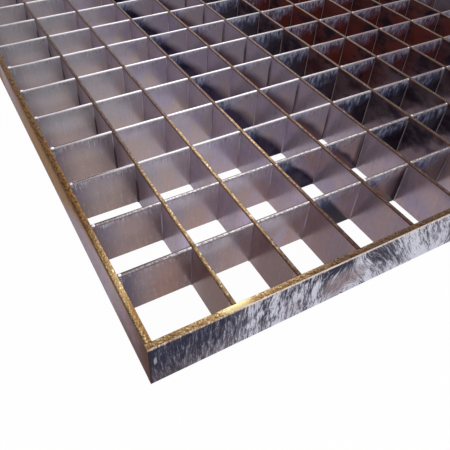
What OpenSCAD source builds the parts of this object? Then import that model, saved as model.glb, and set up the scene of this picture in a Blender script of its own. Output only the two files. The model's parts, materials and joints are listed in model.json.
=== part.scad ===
// Steel grating panel: a square mesh of upright flat bars, fused where they cross,
// framed all round by four flat banding bars. It lies flat, walking side up.
// Origin: middle of the underside. +X runs along the front edge, +Y along the bearing bars.

/* [Panel] */
// Overall width, along the front edge
panel_width = 490; // [240:1:1000]
// Overall length, along the bearing bars
panel_length = 790; // [290:1:1200]
// Height of the bars and of the banding
bar_height = 25; // [15:1:60]

/* [Bearing bars] */
// Thickness of one bearing bar
bearing_thick = 2; // [1.5:0.5:5]
// Spacing of the bearing bars, centre to centre
bearing_pitch = 30; // [20:1:60]
// Centre of the first bearing bar, from the outer face of the left banding
first_bearing = 36.5; // [15:0.5:60]

/* [Cross bars] */
// Thickness of one cross bar
cross_thick = 2; // [1.5:0.5:5]
// Spacing of the cross bars, centre to centre
cross_pitch = 30; // [20:1:60]
// Centre of the first cross bar, from the outer face of the front banding
first_cross = 35.5; // [15:0.5:60]
// How far the cross bars are pressed below the tops of the bearing bars
cross_set_down = 0.3; // [0.1:0.1:1]

/* [Banding] */
// Thickness of the banding bars
band_thick = 3; // [2:0.5:6]
// Smallest open cell left beside the back and the right banding
end_cell = 20; // [5:1:30]

/* [Hidden] */
// The space inside the banding, which the bars fill from face to face
inner_width = panel_width - 2 * band_thick;
inner_length = panel_length - 2 * band_thick;

// Bars are set out from the left and the front, as many as the space inside the banding takes
function bars_that_fit(first, pitch, thick, span) =
    floor((span - band_thick - end_cell - thick / 2 - first) / pitch) + 1;
bearing_count = bars_that_fit(first_bearing, bearing_pitch, bearing_thick, panel_width);
cross_count = bars_that_fit(first_cross, cross_pitch, cross_thick, panel_length);

// A flat bar on edge, centred in its thickness, from the origin along +X
module flat_bar(length, thick, height) {
    translate([0, -thick / 2, 0])
        cube([length, thick, height]);
}

// The bars that carry the load: one piece each, from the front banding to the back
module bearing_bars() {
    for (i = [0 : bearing_count - 1])
        translate([-panel_width / 2 + first_bearing + i * bearing_pitch, -inner_length / 2, 0])
            rotate([0, 0, 90])
                flat_bar(inner_length, bearing_thick, bar_height);
}

// The bars pressed through them, a little below their tops and flush with their undersides
module cross_bars() {
    for (j = [0 : cross_count - 1])
        translate([-inner_width / 2, -panel_length / 2 + first_cross + j * cross_pitch, 0])
            flat_bar(inner_width, cross_thick, bar_height - cross_set_down);
}

// Both sets of bars, one solid because they are forged into each other where they cross
module bar_grid() {
    color([0.50, 0.45, 0.48])
        union() {
            bearing_bars();
            cross_bars();
        }
}

// A banding bar along +X, with its outer face at y = 0 and its inner face towards +Y
module band_bar(length) {
    translate([-length / 2, band_thick / 2, 0])
        flat_bar(length, band_thick, bar_height);
}

// The front and back banding run the full width and cover the ends of the side banding
module front_band() {
    color([0.62, 0.60, 0.66])
        translate([0, -panel_length / 2, 0])
            band_bar(panel_width);
}

module back_band() {
    color([0.62, 0.60, 0.66])
        rotate([0, 0, 180])
            translate([0, -panel_length / 2, 0])
                band_bar(panel_width);
}

module left_band() {
    color([0.56, 0.52, 0.55])
        rotate([0, 0, -90])
            translate([0, -panel_width / 2, 0])
                band_bar(inner_length);
}

module right_band() {
    color([0.56, 0.52, 0.55])
        rotate([0, 0, 90])
            translate([0, -panel_width / 2, 0])
                band_bar(inner_length);
}

bar_grid();
front_band();
back_band();
left_band();
right_band();
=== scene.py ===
# %% [markdown]
# # Dressing a steel grating panel
#
# The panel is a square mesh of upright flat bars inside a frame of banding bars. Its sizes are
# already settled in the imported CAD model, which this lesson loads first. Everything made here is
# in metres and sits in the same frame: the underside of the panel is at height zero, X runs along
# the front edge and Y along the bearing bars. The lesson then gives those plain solids soft edges,
# small slips and drops of zinc, and a weathered finish. What left each mark on the real panel isn't
# known, so where a cause is named below, it is only what such a mark looks like.

# %% Load the frame
import json
import math

import bpy
from mathutils import Matrix, Vector

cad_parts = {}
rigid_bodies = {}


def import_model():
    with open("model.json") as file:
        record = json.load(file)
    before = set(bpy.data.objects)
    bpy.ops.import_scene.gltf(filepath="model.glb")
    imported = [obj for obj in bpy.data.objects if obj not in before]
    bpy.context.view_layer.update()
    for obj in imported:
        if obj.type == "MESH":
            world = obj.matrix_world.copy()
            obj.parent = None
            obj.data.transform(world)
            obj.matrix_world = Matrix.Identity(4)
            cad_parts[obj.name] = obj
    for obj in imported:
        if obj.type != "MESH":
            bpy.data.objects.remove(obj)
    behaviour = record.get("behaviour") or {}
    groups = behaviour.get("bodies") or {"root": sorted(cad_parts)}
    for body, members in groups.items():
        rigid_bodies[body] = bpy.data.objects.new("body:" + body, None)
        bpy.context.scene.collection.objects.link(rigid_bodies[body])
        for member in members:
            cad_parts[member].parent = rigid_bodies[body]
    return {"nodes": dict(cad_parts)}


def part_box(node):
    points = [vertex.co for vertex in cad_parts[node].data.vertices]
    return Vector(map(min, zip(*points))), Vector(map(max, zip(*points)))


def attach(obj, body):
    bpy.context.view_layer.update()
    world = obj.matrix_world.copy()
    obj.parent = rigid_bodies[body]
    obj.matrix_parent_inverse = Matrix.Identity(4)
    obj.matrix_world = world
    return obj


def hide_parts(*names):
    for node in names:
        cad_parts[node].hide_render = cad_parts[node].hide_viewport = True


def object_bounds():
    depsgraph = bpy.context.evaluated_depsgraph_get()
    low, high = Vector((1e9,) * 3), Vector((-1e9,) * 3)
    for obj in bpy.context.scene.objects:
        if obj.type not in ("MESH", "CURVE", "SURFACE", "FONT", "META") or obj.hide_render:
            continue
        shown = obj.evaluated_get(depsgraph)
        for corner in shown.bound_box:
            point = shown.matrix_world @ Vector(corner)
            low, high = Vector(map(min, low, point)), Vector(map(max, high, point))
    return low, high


for leftover in list(bpy.data.objects):
    bpy.data.objects.remove(leftover)
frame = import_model()
cad_low, cad_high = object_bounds()
print("CAD box, metres:", [round(v, 4) for v in (*cad_low, *cad_high)])

# %% [markdown]
# ## Reading the bars from the grid
#
# The CAD grid is one fused solid, so its bars have no names. Their tops do say where they are: the
# bearing bars reach the full height, and the cross bars stop a little lower. The corners on each of
# those two levels give the sides of every bar, from which the first centre, the pitch and the
# thickness follow. Reading them this way means that nothing is typed twice.

# %% Measure the two rows of bars
MM = 0.001
LEVEL_TOLERANCE = 0.01 * MM
TO_THE_MICROMETRE = 6


def sides_on_level(node, level, axis):
    """The distinct coordinates along an axis of a node's corners at one height, in rising order."""
    corners = frame["nodes"][node].data.vertices
    on_level = [c for c in corners if abs(c.co.z - level) < LEVEL_TOLERANCE]
    return sorted({round(c.co[axis], TO_THE_MICROMETRE) for c in on_level})


def row_of_bars(sides):
    """First centre, pitch, thickness and count of equal bars whose two sides alternate in a list."""
    centres = [(a + b) / 2 for a, b in zip(sides[::2], sides[1::2])]
    pitch = (centres[-1] - centres[0]) / (len(centres) - 1)
    return {"first": centres[0], "pitch": pitch, "thick": sides[1] - sides[0], "count": len(centres)}


grid_low, grid_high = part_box("bar_grid")
bearing_top = grid_high.z
heights = {round(c.co.z, TO_THE_MICROMETRE) for c in frame["nodes"]["bar_grid"].data.vertices}
cross_top = max(z for z in heights if z < bearing_top - LEVEL_TOLERANCE)
bearing = row_of_bars(sides_on_level("bar_grid", bearing_top, 0))
cross = row_of_bars(sides_on_level("bar_grid", cross_top, 1))
print("bearing bars:", bearing)
print("cross bars:", cross, "top at", cross_top)

# %% [markdown]
# ## Node trees without the wiring
#
# Both the shapes and the finishes below are node trees. They could be wired by hand in an editor,
# but a tree that a script writes can be read, changed and made again. One small class adds a node
# from its type, its settings and the values or links of its sockets, and serves for geometry trees
# and shader trees alike.

# %% A helper that adds nodes


class Tree:
    """Adds nodes to a tree. Sockets are named, or numbered where several share a name."""

    def __init__(self, tree):
        self.tree = tree

    def add(self, kind, settings=None, sockets=None):
        node = self.tree.nodes.new(kind)
        for name, value in (settings or {}).items():
            setattr(node, name, value)
        for key, value in (sockets or {}).items():
            self.join(value, node.inputs[key])
        return node

    def join(self, value, socket):
        """A plain value goes on the socket itself, and a node or one of its outputs is linked to it."""
        if isinstance(value, Maths):
            value = value.socket
        if isinstance(value, bpy.types.Node):
            value = value.outputs[0]
        if isinstance(value, bpy.types.NodeSocket):
            self.tree.links.new(value, socket)
        else:
            socket.default_value = value


# %% [markdown]
# ## Sums instead of Math nodes
#
# A finish is mostly arithmetic on places: how far from the front edge, how deep below the crown.
# Drawn as nodes, such a sum soon fills a screen. This class wraps a socket and overloads Python's
# operators, so that the sum is written as a sum and adds its own Math nodes. The one step beyond
# plain arithmetic is the ramp, a soft rise from 0 to 1 between two values. Nearly every edge of a
# stain below is a ramp of some distance.

# %% Numbers that live in a tree


class Maths:
    """A number in a node tree. An expression on it adds the Math nodes that work it out."""

    def __init__(self, tree, socket):
        self.tree = tree
        self.socket = socket

    def calculate(self, operation, *values):
        """The result of one Math node. Its sockets share a name, and so are numbered."""
        node = self.tree.add("ShaderNodeMath", {"operation": operation}, dict(enumerate(values)))
        return Maths(self.tree, node.outputs[0])

    def __add__(self, other):
        return self.calculate("ADD", self, other)

    def __sub__(self, other):
        return self.calculate("SUBTRACT", self, other)

    def __rsub__(self, other):
        return self.calculate("SUBTRACT", other, self)

    def __mul__(self, other):
        return self.calculate("MULTIPLY", self, other)

    def __truediv__(self, other):
        return self.calculate("DIVIDE", self, other)

    def __pow__(self, other):
        return self.calculate("POWER", self, other)

    __radd__ = __add__

    def absolute(self):
        return self.calculate("ABSOLUTE", self)

    def at_least(self, other):
        return self.calculate("MAXIMUM", self, other)

    def at_most(self, other):
        return self.calculate("MINIMUM", self, other)

    def modulo(self, other):
        return self.calculate("FLOORED_MODULO", self, other)

    def ramp(self, low, high):
        """0 at low and 1 at high, with a soft start and end. Of two plain numbers, low may be larger."""
        both_plain = isinstance(low, (int, float)) and isinstance(high, (int, float))
        if both_plain and low > high:
            return 1 - self.ramp(high, low)
        node = self.tree.add("ShaderNodeMapRange", {"interpolation_type": "SMOOTHSTEP"},
                             {"Value": self, "From Min": low, "From Max": high})
        return Maths(self.tree, node.outputs[0])


# %% [markdown]
# ## A row of flat bars
#
# A flat bar is a rectangle with slightly rounded corners, drawn out along its length. It could be a
# scaled cube with a Bevel, once for each bar. But all the bars of a row are the same, so one Geometry
# Nodes tree sweeps the rectangle once and sets copies of it at the pitch. The same tree makes a
# single banding bar when its count is one.
#
# Rounded edges matter more than their size suggests: each one catches a thin line of light that a
# sharp edge has not. Zinc never lies quite even on such an edge, so a noise lowers the crown by a
# tenth or two of a millimetre here and there. It only ever lowers it, and so the bar stays inside
# its true size.

# %% Start a geometry tree


def new_tree(name, inputs, output):
    """An empty geometry tree with these named inputs, and the sockets that its nodes read them from."""
    tree = bpy.data.node_groups.new(name, "GeometryNodeTree")
    for label, kind in inputs.items():
        tree.interface.new_socket(name=label, in_out="INPUT", socket_type="NodeSocket" + kind)
    tree.interface.new_socket(name=output, in_out="OUTPUT", socket_type="NodeSocketGeometry")
    t = Tree(tree)
    return t, t.add("NodeGroupInput").outputs


# %% Sweep one bar, then set out the row
ROUNDING_STEPS = 3
RING_SPACING = 5 * MM


def swept_bar(t, given):
    """One closed bar along X, from a rounded rectangle drawn out along a line."""
    section = t.add("GeometryNodeCurvePrimitiveQuadrilateral", {"mode": "RECTANGLE"},
                    {"Width": given["Thickness"], "Height": given["Height"]})
    rounded = t.add("GeometryNodeFilletCurve", {"mode": "POLY"},
                    {"Curve": section, "Count": ROUNDING_STEPS, "Radius": given["Edge radius"]})
    far_end = t.add("ShaderNodeCombineXYZ", None, {"X": given["Length"]})
    path = t.add("GeometryNodeCurvePrimitiveLine", {"mode": "POINTS"}, {"End": far_end})
    rings = t.add("GeometryNodeResampleCurve", {"mode": "LENGTH"},
                  {"Curve": path, "Length": RING_SPACING})
    return t.add("GeometryNodeCurveToMesh", None,
                 {"Curve": rings, "Profile Curve": rounded, "Fill Caps": True})


def set_out(t, given, bar):
    """Copies of the bar at equal steps, all turned the same way."""
    line = t.add("GeometryNodeMeshLine", {"mode": "OFFSET"},
                 {"Count": given["Count"], "Start Location": given["Start"], "Offset": given["Step"]})
    turn = t.add("ShaderNodeCombineXYZ", None, {"Z": given["Turn"]})
    copies = t.add("GeometryNodeInstanceOnPoints", None,
                   {"Points": line, "Instance": bar, "Rotation": turn})
    return t.add("GeometryNodeRealizeInstances", None, {"Geometry": copies})


# %% Lower the crown unevenly
WAVER_LENGTH = 8 * MM
CROWN_IN_RADII = 3


def uneven_crown(t, given, bars):
    """The bars with their crowns lowered by up to the waver, and their lower parts left alone."""
    spot = t.add("GeometryNodeInputPosition")
    level = Maths(t, t.add("ShaderNodeSeparateXYZ", None, {0: spot}).outputs["Z"])
    top = Maths(t, given["Height"])
    crown = level.ramp(top - Maths(t, given["Edge radius"]) * CROWN_IN_RADII, top)
    cloud = t.add("ShaderNodeTexNoise", {"noise_dimensions": "3D"},
                  {"Vector": spot, "Scale": 1 / WAVER_LENGTH, "Detail": 3.0})
    fall = crown * Maths(t, cloud.outputs["Fac"]) * Maths(t, given["Waver"]) * -1
    return t.add("GeometryNodeSetPosition", None,
                 {"Geometry": bars, "Offset": t.add("ShaderNodeCombineXYZ", None, {"Z": fall})})


# %% The whole tree for a row of bars


def bar_row_tree():
    """Named inputs in, one realized mesh of equal upright bars out."""
    t, given = new_tree("row_of_flat_bars", {
        "Length": "Float", "Thickness": "Float", "Height": "Float", "Edge radius": "Float",
        "Waver": "Float", "Start": "Vector", "Turn": "Float", "Step": "Vector", "Count": "Int",
        "Finish": "Material"}, "Bars")
    bars = uneven_crown(t, given, set_out(t, given, swept_bar(t, given)))
    painted = t.add("GeometryNodeSetMaterial", None, {"Geometry": bars, "Material": given["Finish"]})
    t.add("NodeGroupOutput", None, {"Bars": painted})
    return t.tree


BAR_ROW = bar_row_tree()
print("tree:", BAR_ROW.name, "with", len(BAR_ROW.nodes), "nodes")

# %% [markdown]
# ## From a tree to a plain mesh
#
# The modifier is only the tool. Its result is copied into a mesh of its own, and the object that
# carried it is thrown away. The tall flat walls keep flat shading, so that they mirror what stands
# around them without a bend. The crowns and the rounded edges are shaded smooth.

# %% Turn a tree into a plain mesh
STILL_A_WALL = 0.02


def made_by(tree, name, values):
    """An object whose mesh is what the tree makes from these values, with no modifier left on it."""
    maker = bpy.data.objects.new(name + "_maker", bpy.data.meshes.new(name + "_maker"))
    bpy.context.scene.collection.objects.link(maker)
    modifier = maker.modifiers.new(name, "NODES")
    modifier.node_group = tree
    for item in tree.interface.items_tree:
        if item.in_out == "INPUT" and item.name in values:
            modifier[item.identifier] = values[item.name]
    bpy.context.view_layer.update()
    evaluated = maker.evaluated_get(bpy.context.evaluated_depsgraph_get())
    mesh = bpy.data.meshes.new_from_object(evaluated)
    mesh.name = name
    mesh.materials.clear()
    mesh.materials.append(values["Finish"])
    mesh.polygons.foreach_set("material_index", [0] * len(mesh.polygons))
    mesh.polygons.foreach_set("use_smooth", [abs(p.normal.z) > STILL_A_WALL for p in mesh.polygons])
    bpy.data.objects.remove(maker)
    piece = bpy.data.objects.new(name, mesh)
    bpy.context.scene.collection.objects.link(piece)
    return piece


# %% Tie a piece to the model


def dress(piece, nodes):
    """The piece moves with the panel and stands in for these CAD nodes, which are hidden."""
    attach(piece, "root")
    for node in nodes:
        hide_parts(node)
    print(piece.name, "-", len(piece.data.polygons), "faces")


# %% [markdown]
# ## How a finish is put together
# Some layers are painted light instead: painted shade, highlights and reflections, named where they lie.
#
# Weathered zinc isn't one colour. It is a mirror gone dull, with rust, pooled metal and drips laid
# over it, and each of those has its place on the panel. It could be painted by hand into an image,
# but an image has an end to its detail and would have to be wrapped round 44 bars. So every finish
# below is worked out from where a point lies, in millimetres from the edges, and from a few clouds
# of noise that roughen the outlines. Colours go on in thin layers from the bottom up, as a painter
# glazes. Everything reads Object coordinates, so that it stays on the steel however the panel turns.
#
# A shader works with amounts of light, and an eye with steps of brightness, and the two differ by a
# curve. Colours are typed here as a screen names them, from 0 to 255, and turned into light once.

# %% A colour from 0 to 255


def rgb(red, green, blue):
    """A colour as the eye would name it, turned into the light it gives back."""
    def light(value):
        """The curve that every screen follows: straight near black, and a power above that."""
        value = value / 255
        return value / 12.92 if value <= 0.04045 else ((value + 0.055) / 1.055) ** 2.4
    return (light(red), light(green), light(blue), 1.0)


# %% The start of every finish
GRAIN_RELIEF = 0.06
FEATHER_RELIEF = 0.08


class Finish(Tree):
    """A material's tree, with the few nodes that every finish here is made of."""

    def __init__(self, name):
        self.material = bpy.data.materials.new(name)
        self.material.use_nodes = True
        super().__init__(self.material.node_tree)
        self.tree.nodes.clear()

    def read_place(self):
        """Where the point lies, in millimetres, and which way its face looks."""
        place = self.add("ShaderNodeTexCoord").outputs["Object"]
        self.place = self.add("ShaderNodeVectorMath", {"operation": "SCALE"},
                              {0: place, "Scale": 1 / MM}).outputs[0]
        self.x, self.y, self.z = self.parts(self.place)
        facing = self.add("ShaderNodeNewGeometry").outputs["True Normal"]
        self.nx, self.ny, _ = self.parts(facing)

    def parts(self, vector):
        """X, Y and Z of a vector, as numbers that can be reckoned with."""
        split = self.add("ShaderNodeSeparateXYZ", None, {0: vector})
        return [Maths(self, split.outputs[k]) for k in range(3)]

    def noise(self, across, detail=2.0, roughness=0.5, distortion=0.0, shift=(0, 0, 0), lean=(0, 0, 0),
              place=None):
        """Cloudy values from 0 to 1. across is the size of a cloud in millimetres along X, Y and Z."""
        turned = self.add("ShaderNodeMapping", None, {
            "Vector": place or self.place, "Location": shift, "Rotation": lean})
        scaled = self.add("ShaderNodeMapping", None, {
            "Vector": turned, "Scale": [1 / a for a in across]})
        node = self.add("ShaderNodeTexNoise", {"noise_dimensions": "3D"}, {
            "Vector": scaled, "Scale": 1.0, "Detail": detail, "Roughness": roughness,
            "Distortion": distortion})
        return Maths(self, node.outputs["Fac"])

    def blend(self, low, high, amount):
        """The colour low where amount is 0, and high where it is 1. A colour is typed or linked.

        A Mix node has sockets for every type of value: 6 and 7 are its colours, and 2 comes out.
        """
        low, high = (rgb(*c) if isinstance(c, tuple) else c for c in (low, high))
        node = self.add("ShaderNodeMix", {"data_type": "RGBA"}, {0: amount, 6: low, 7: high})
        return node.outputs[2]

    def glaze(self, base, *layers):
        """The base colour under thin layers, from the bottom up. Each is a colour and its amount."""
        for colour, amount in layers:
            base = self.blend(base, colour, amount)
        return base

    def bump(self, height, distance):
        """Relief from a height of 0 to 1, with its depth in millimetres."""
        return self.add("ShaderNodeBump", None, {
            "Height": height, "Distance": distance * MM, "Strength": 1.0})

    def done(self, colour, roughness, metallic, relief=None):
        """The finished material. Dull zinc mirrors little beyond its metal, so its gloss is off."""
        sockets = {"Base Color": colour, "Roughness": roughness, "Metallic": metallic,
                   "Specular IOR Level": 0.0}
        if relief is not None:
            sockets["Normal"] = relief
        surface = self.add("ShaderNodeBsdfPrincipled", None, sockets)
        self.add("ShaderNodeOutputMaterial", None, {"Surface": surface})
        return self.material


# %% [markdown]
# ## Where things are on the panel
#
# The stains and the painted light and shade keep to certain bars and cells, so their places are
# counted in bars, and in millimetres from the near left corner. The numbers follow the sizes that
# were read from the CAD grid.

# %% Places in millimetres
LEFT = cad_low[0] / MM
FRONT = cad_low[1] / MM
TOP = bearing_top / MM
CROSS_TOP = cross_top / MM
FIRST_BEARING = bearing["first"] / MM
FIRST_CROSS = cross["first"] / MM
PITCH = bearing["pitch"] / MM
band_low, band_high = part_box("left_band")
BAND = band_high.x - band_low.x
BAND_WIDTH = BAND / MM
print("first bars:", FIRST_BEARING - LEFT, "and", FIRST_CROSS - FRONT, "from the corner")


def bar_x(number):
    """X of a bearing bar's centre, counted from 1 at the left."""
    return FIRST_BEARING + (number - 1) * PITCH


def off_nearest(place, first):
    """How far a place is past the centre line of the nearest bar of a row, and negative before it."""
    return (place - first + PITCH / 2).modulo(PITCH) - PITCH / 2


# %% What counts as the crown
CROWN_DEPTH = 0.75
CROWN_EDGE = 0.3


def on_crown(f):
    """1 on the narrow top of a full-height bar, and 0 on its walls."""
    return f.z.ramp(TOP - CROWN_DEPTH, TOP - CROWN_DEPTH + CROWN_EDGE)


# %% [markdown]
# ## Painted dark and red stretches across the bars
#
# Two stretches of colour pay no heed to single bars. One is painted shade and dark reflection, the
# other a rust colour that also stands for the painted reflection of a dark red surrounding. The
# masks below are shared by the finishes, so that a stretch which ends on a bearing bar goes on over
# the cross bar beside it. Each is 1 inside its stretch and 0 outside, and a broad noise keeps its
# outline from running straight.

# %% A stretch that ends unevenly
END_WANDER = 110


def ragged_end(f, start, end):
    """1 in front of a very uneven line across the panel and 0 behind it, and how uneven it is."""
    uneven = (f.noise((90, 90, 90), detail=2, shift=(4, 70, 0)) - 0.5) * END_WANDER
    return (f.y + uneven).ramp(end, start), uneven


# %% The painted dark stretch
EDGE_WANDER = 24
NARROWS_FROM = -165


def painted_dark_stretch(f, left_edge):
    """0 on clean steel and 1 on the stretch right of left_edge, and in a few blotches elsewhere."""
    edge = (f.noise((40, 40, 60), detail=2, shift=(40, 10, 0)) - 0.5) * EDGE_WANDER
    in_front, uneven = ragged_end(f, -120, -60)
    narrowing = (f.y - NARROWS_FROM).at_least(0) * 0.3
    across = (f.x + edge * 0.3 - narrowing).ramp(left_edge - 3, left_edge + 3)
    across = across * (f.x + uneven + narrowing * 0.5).ramp(105, 70)
    along = (f.y + edge).ramp(FRONT + 23, FRONT + 43) * in_front
    blotch = f.noise((110, 110, 110), detail=3, shift=(300, 120, 0)).ramp(0.58, 0.66)
    blotch = blotch * f.x.ramp(20, 60).at_least(f.y.ramp(-60, 0))
    return (across * along).at_least(blotch)


# %% The stretch of rust colour and painted red reflection


def rust_and_red_reflection(f):
    """1 on rust colour and painted red reflection, right of the sixth bearing bar, well behind the front.
    """
    across = f.x.ramp(bar_x(6) - 3, bar_x(6) + 4) * f.x.ramp(100, 40)
    return across * (f.y - FRONT).ramp(105, 135) * ragged_end(f, -90, 20)[0]


# %% [markdown]
# ## A painted highlight on the crowns
#
# The crowns by the near corner carry a painted highlight, which turns their dull bronze to bright
# brass there. The stretch is shaped as everything within reach of a slanting line, which is the
# distance from a point to a segment, a sum that any geometry book has. Elsewhere only a few patches
# carry it.

# %% The painted highlight on the crowns
HIGHLIGHT_START = (26.0, 24.0)
HIGHLIGHT_RUN = (50.0, 60.0)
HIGHLIGHT_RUN_SQUARED = HIGHLIGHT_RUN[0] ** 2 + HIGHLIGHT_RUN[1] ** 2


def painted_crown_highlight(f):
    """1 where the painted highlight lies on the crowns, by the near corner, and 0 where they are dull."""
    p = f.x - LEFT - HIGHLIGHT_START[0]
    q = f.y - FRONT - HIGHLIGHT_START[1]
    share = ((p * HIGHLIGHT_RUN[0] + q * HIGHLIGHT_RUN[1]) / HIGHLIGHT_RUN_SQUARED).at_least(0).at_most(1)
    p = p - share * HIGHLIGHT_RUN[0]
    q = q - share * HIGHLIGHT_RUN[1]
    away = (p * p + q * q) ** 0.5
    cloud = f.noise((45, 45, 45), detail=3, shift=(1, 1, 7))
    near = (away + (cloud - 0.5) * 24).ramp(58, 10)
    return near.at_least(cloud.ramp(0.6, 0.75) * away.ramp(120, 200) * 0.6)


# %% [markdown]
# ## The finish of the bearing bars
#
# Each bearing bar shows one tall wall of pale lilac zinc and a narrow crown. The wall is warmer near
# the front left, as if bare steel showed through, and in the second row its front carries a bright
# lilac painted reflection of the floor. Beyond the fifth bar it is painted nearly black, as shade and
# dark reflection. Right behind each crossing is a dark line of painted shade in the corner. Brush
# marks run down all of it: a cloud stretched along Z makes them, and a finer one breaks them up.

# %% Warm and pale stretches of the walls


def bearing_wall(f, brushed):
    """The colour of the clean steel on the tall walls."""
    hue = f.noise((17, 17, 14), detail=4, roughness=0.6)
    past_bar = (f.y - FIRST_CROSS).modulo(PITCH)
    from_front = f.y - FRONT
    warmth = from_front.ramp(50, 25) * f.x.ramp(bar_x(6), bar_x(1))
    nearest_bar = f.x.ramp(bar_x(2) - 8, bar_x(1) + 4)
    lighter = f.x.ramp(bar_x(1), bar_x(4)) * from_front.ramp(40, 110)
    second_row = from_front.ramp(34, 38) * from_front.ramp(76, 60) * f.x.ramp(bar_x(4) + 8, bar_x(1) + 10)
    lower_back = from_front.ramp(96, 135) * f.z.ramp(18, 8)
    first_bar = f.x.ramp(bar_x(1) + 8, bar_x(1) + 2) * from_front.ramp(55, 85)
    return f.glaze(
        f.blend((160, 148, 170), (178, 156, 160), hue.ramp(0.3, 0.7)),
        ((130, 103, 102), warmth),
        ((112, 68, 58), warmth * nearest_bar * past_bar.ramp(24, 12) * 0.4),
        ((170, 148, 150), warmth * past_bar.ramp(18, 28) * 0.4),
        ((182, 172, 190), lighter * 0.6),
        # A painted reflection of the floor: bright lilac at the front of the walls in the second row.
        ((226, 210, 250), second_row * past_bar.ramp(16, 4) * 0.5),
        ((138, 124, 136), lower_back * 0.55),
        ((124, 110, 118), first_bar * past_bar.ramp(10, 24) * 0.7),
        ((104, 90, 104), brushed.ramp(0.5, 0.3) * 0.4),
        ((214, 204, 214), brushed.ramp(0.52, 0.72) * (0.4 - from_front.ramp(60, 40) * 0.25)))


# %% Painted corner shade, the painted dark stretch and rust on the walls


def bearing_stains(f, wall):
    """The wall's colour under painted shade in the corners, the painted dark stretch and rust colour."""
    from_front = f.y - FRONT
    to_bar = (FIRST_CROSS - f.y).modulo(PITCH)
    ragged = f.noise((9, 9, 7), detail=3)
    # Painted shade in the corner where the first bearing bar meets the cross bar.
    painted_corner_shade = (to_bar + ragged * 2 - 1).ramp(4.2, 2.4) * (f.z + ragged * 10).ramp(24, 14)
    painted_corner_shade = painted_corner_shade * f.x.ramp(bar_x(2) - 5, bar_x(1) + 5) * from_front.ramp(55, 95)
    # The painted shade and dark reflection of the dark stretch, coloured by deep.
    dark = painted_dark_stretch(f, bar_x(5) + 15)
    gloom = f.noise((16, 16, 9), detail=4, roughness=0.6, shift=(4, 4, 9))
    deep = f.blend((56, 47, 60), (116, 98, 106), (gloom + f.z.ramp(14, 2) * 0.15).ramp(0.36, 0.66))
    rust = f.noise((45, 45, 30), detail=3, shift=(2, 8, 5)).ramp(0.5, 0.62)
    rusty = (gloom + f.z.ramp(20, 2) * 0.12).ramp(0.38, 0.58)
    return f.glaze(
        wall,
        ((40, 28, 40), painted_corner_shade * 0.8),
        (deep, dark),
        # Rust colour that also stands for a painted dark red reflection, on the dark stretch and beyond.
        ((108, 60, 52), rust * dark * from_front.ramp(60, 150) * 0.5),
        ((126, 56, 44), rust_and_red_reflection(f) * rusty * 0.75))


# %% The crowns of the bearing bars


def bearing_crown(f):
    """The colour of the crowns, flecked gold or dull bronze, and how worn each fleck is."""
    fleck = f.noise((0.9, 1.3, 0.9), detail=3, roughness=0.75)
    scratch = f.noise((0.5, 5, 2), detail=3, roughness=0.6, shift=(5, 1, 1))
    worn = fleck * 0.75 + scratch * 0.25
    gold = f.blend((98, 72, 47), (151, 128, 97), worn.ramp(0.38, 0.56))
    gold = f.blend(gold, (224, 208, 190), worn.ramp(0.55, 0.64))
    bronze = f.blend((50, 37, 36), (90, 73, 69), worn.ramp(0.38, 0.6))
    bronze = f.blend(bronze, (158, 143, 136), worn.ramp(0.58, 0.68) * 0.8)
    at_crossing = (off_nearest(f.y, FIRST_CROSS).absolute() + worn * 3 - 1.5).ramp(2.6, 0.8)
    # Painted shade along the left edge of each crown, which turns away from the light.
    painted_edge_shade = (off_nearest(f.x, FIRST_BEARING) * -1 + worn - 0.5).ramp(0.1, 0.8)
    # Brass where the painted highlight lies, and bronze elsewhere.
    crown = f.glaze(
        f.blend(bronze, gold, painted_crown_highlight(f)),
        ((66, 46, 34), at_crossing * 0.5),
        ((80, 50, 32), painted_edge_shade * 0.75))
    return crown, worn


# %% Put the bearing bars' finish together


def bearing_finish():
    """Walls and crowns, with the brush marks and the flecks of the crowns as fine relief."""
    f = Finish("bearing_bar_steel")
    f.read_place()
    streak = f.noise((0.9, 0.9, 16), detail=4, roughness=0.65, shift=(7, 3, 1))
    grain = f.noise((1.8, 1.8, 2.4), detail=4, roughness=0.7, shift=(2, 2, 2))
    brushed = streak * 0.45 + grain * 0.55
    wall = bearing_stains(f, bearing_wall(f, brushed))
    crown, worn = bearing_crown(f)
    top = on_crown(f)
    relief = f.bump(brushed * (1 - top) * 0.25 + worn * top, GRAIN_RELIEF)
    return f.done(f.blend(wall, crown, top), 0.2 + brushed * 0.08 + top * 0.12, 0.5 + top * 0.2, relief)


bearing_steel = bearing_finish()
print("finish:", bearing_steel.name, "with", len(bearing_steel.node_tree.nodes), "nodes")

# %% [markdown]
# ## The finish of the cross bars
#
# The cross bars show their broad faces, so most of what the eye reads as the panel's colour is here.
# Three things lie over the plain steel. Slanting marks, navy in one column of cells and brown in the
# next, are a painted reflection of a shadowed floor under each cell. White drips hang from the upper
# edge, as if zinc had run off it. And the darkest faces have a bloom on them like hoar frost.
#
# The layers share a few measures: how far right of its own bearing bar a point lies, how deep below
# the crown, and in which row of cells. They are worked out once and kept on the finish itself.

# %% Measures that the cross bars' layers share


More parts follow.
